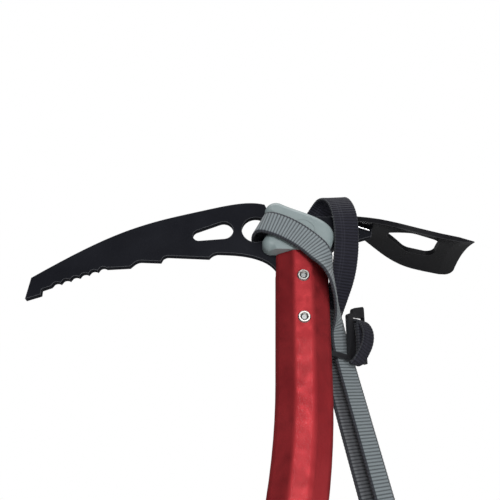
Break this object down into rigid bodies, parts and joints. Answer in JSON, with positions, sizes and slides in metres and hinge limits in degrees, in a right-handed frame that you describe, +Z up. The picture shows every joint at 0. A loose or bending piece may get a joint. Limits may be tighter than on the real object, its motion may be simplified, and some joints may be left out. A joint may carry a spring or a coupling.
{
  "type": "ice axe",
  "caption": "Ice axe with a toothed pick, an arched adze, a bent eight-sided shaft, a spike and a webbing wrist leash with a slide.",
  "frame": {"origin": "centre of the large round hole in the head, on the mid-plane of the steel", "axes": "+Z up along the straight upper shaft, -X towards the pick, +X towards the adze, Y across the thickness with -Y towards the viewer"},
  "size_m": [0.2651, 0.0675, 0.5078],
  "materials": {
    "steel": "black satin coating on forged steel",
    "weld_steel": "bare weld bead",
    "cover_plastic": "light grey satin moulding",
    "fastener_steel": "plain turned steel",
    "red_shaft": "red satin anodised aluminium",
    "black_plastic": "black satin moulding",
    "rivet_steel": "bright rolled edge",
    "grip_rubber": "matt black rubber",
    "black_webbing": "ribbed black webbing",
    "grey_webbing": "ribbed webbing, grey on one face and black on the other"
  },
  "bodies": {
    "axe": {"head_blade": "steel", "adze_blade": "steel", "adze_weld": "weld_steel", "cover_near": "cover_plastic", "cover_far": "cover_plastic", "cover_plug_near": "cover_plastic", "cover_plug_far": "cover_plastic", "cover_bolt": "fastener_steel", "cover_nut": "fastener_steel", "shaft_tube": "red_shaft", "tang_spacer_near": "black_plastic", "tang_spacer_far": "black_plastic", "head_rivets": "rivet_steel", "head_rivet_pins": "fastener_steel", "grip_sleeve": "grip_rubber", "grip_collar": "grip_rubber", "end_plug": "black_plastic", "spike": "steel", "spike_rivets": "rivet_steel", "spike_rivet_pins": "fastener_steel", "leash_over_cover": "grey_webbing", "leash_front_strand": "grey_webbing", "leash_wrist_loop": "grey_webbing", "leash_rear_strand": "grey_webbing", "leash_behind_cover": "grey_webbing"},
    "slider": {"slider_frame": "black_plastic", "pull_loop": "black_webbing"}
  },
  "joints": [
    {"name": "slider_slide", "type": "slide", "parent": "axe", "child": "slider", "axis": [0.225, 0, -0.9744], "range_m": [0, 0.1]}
  ]
}
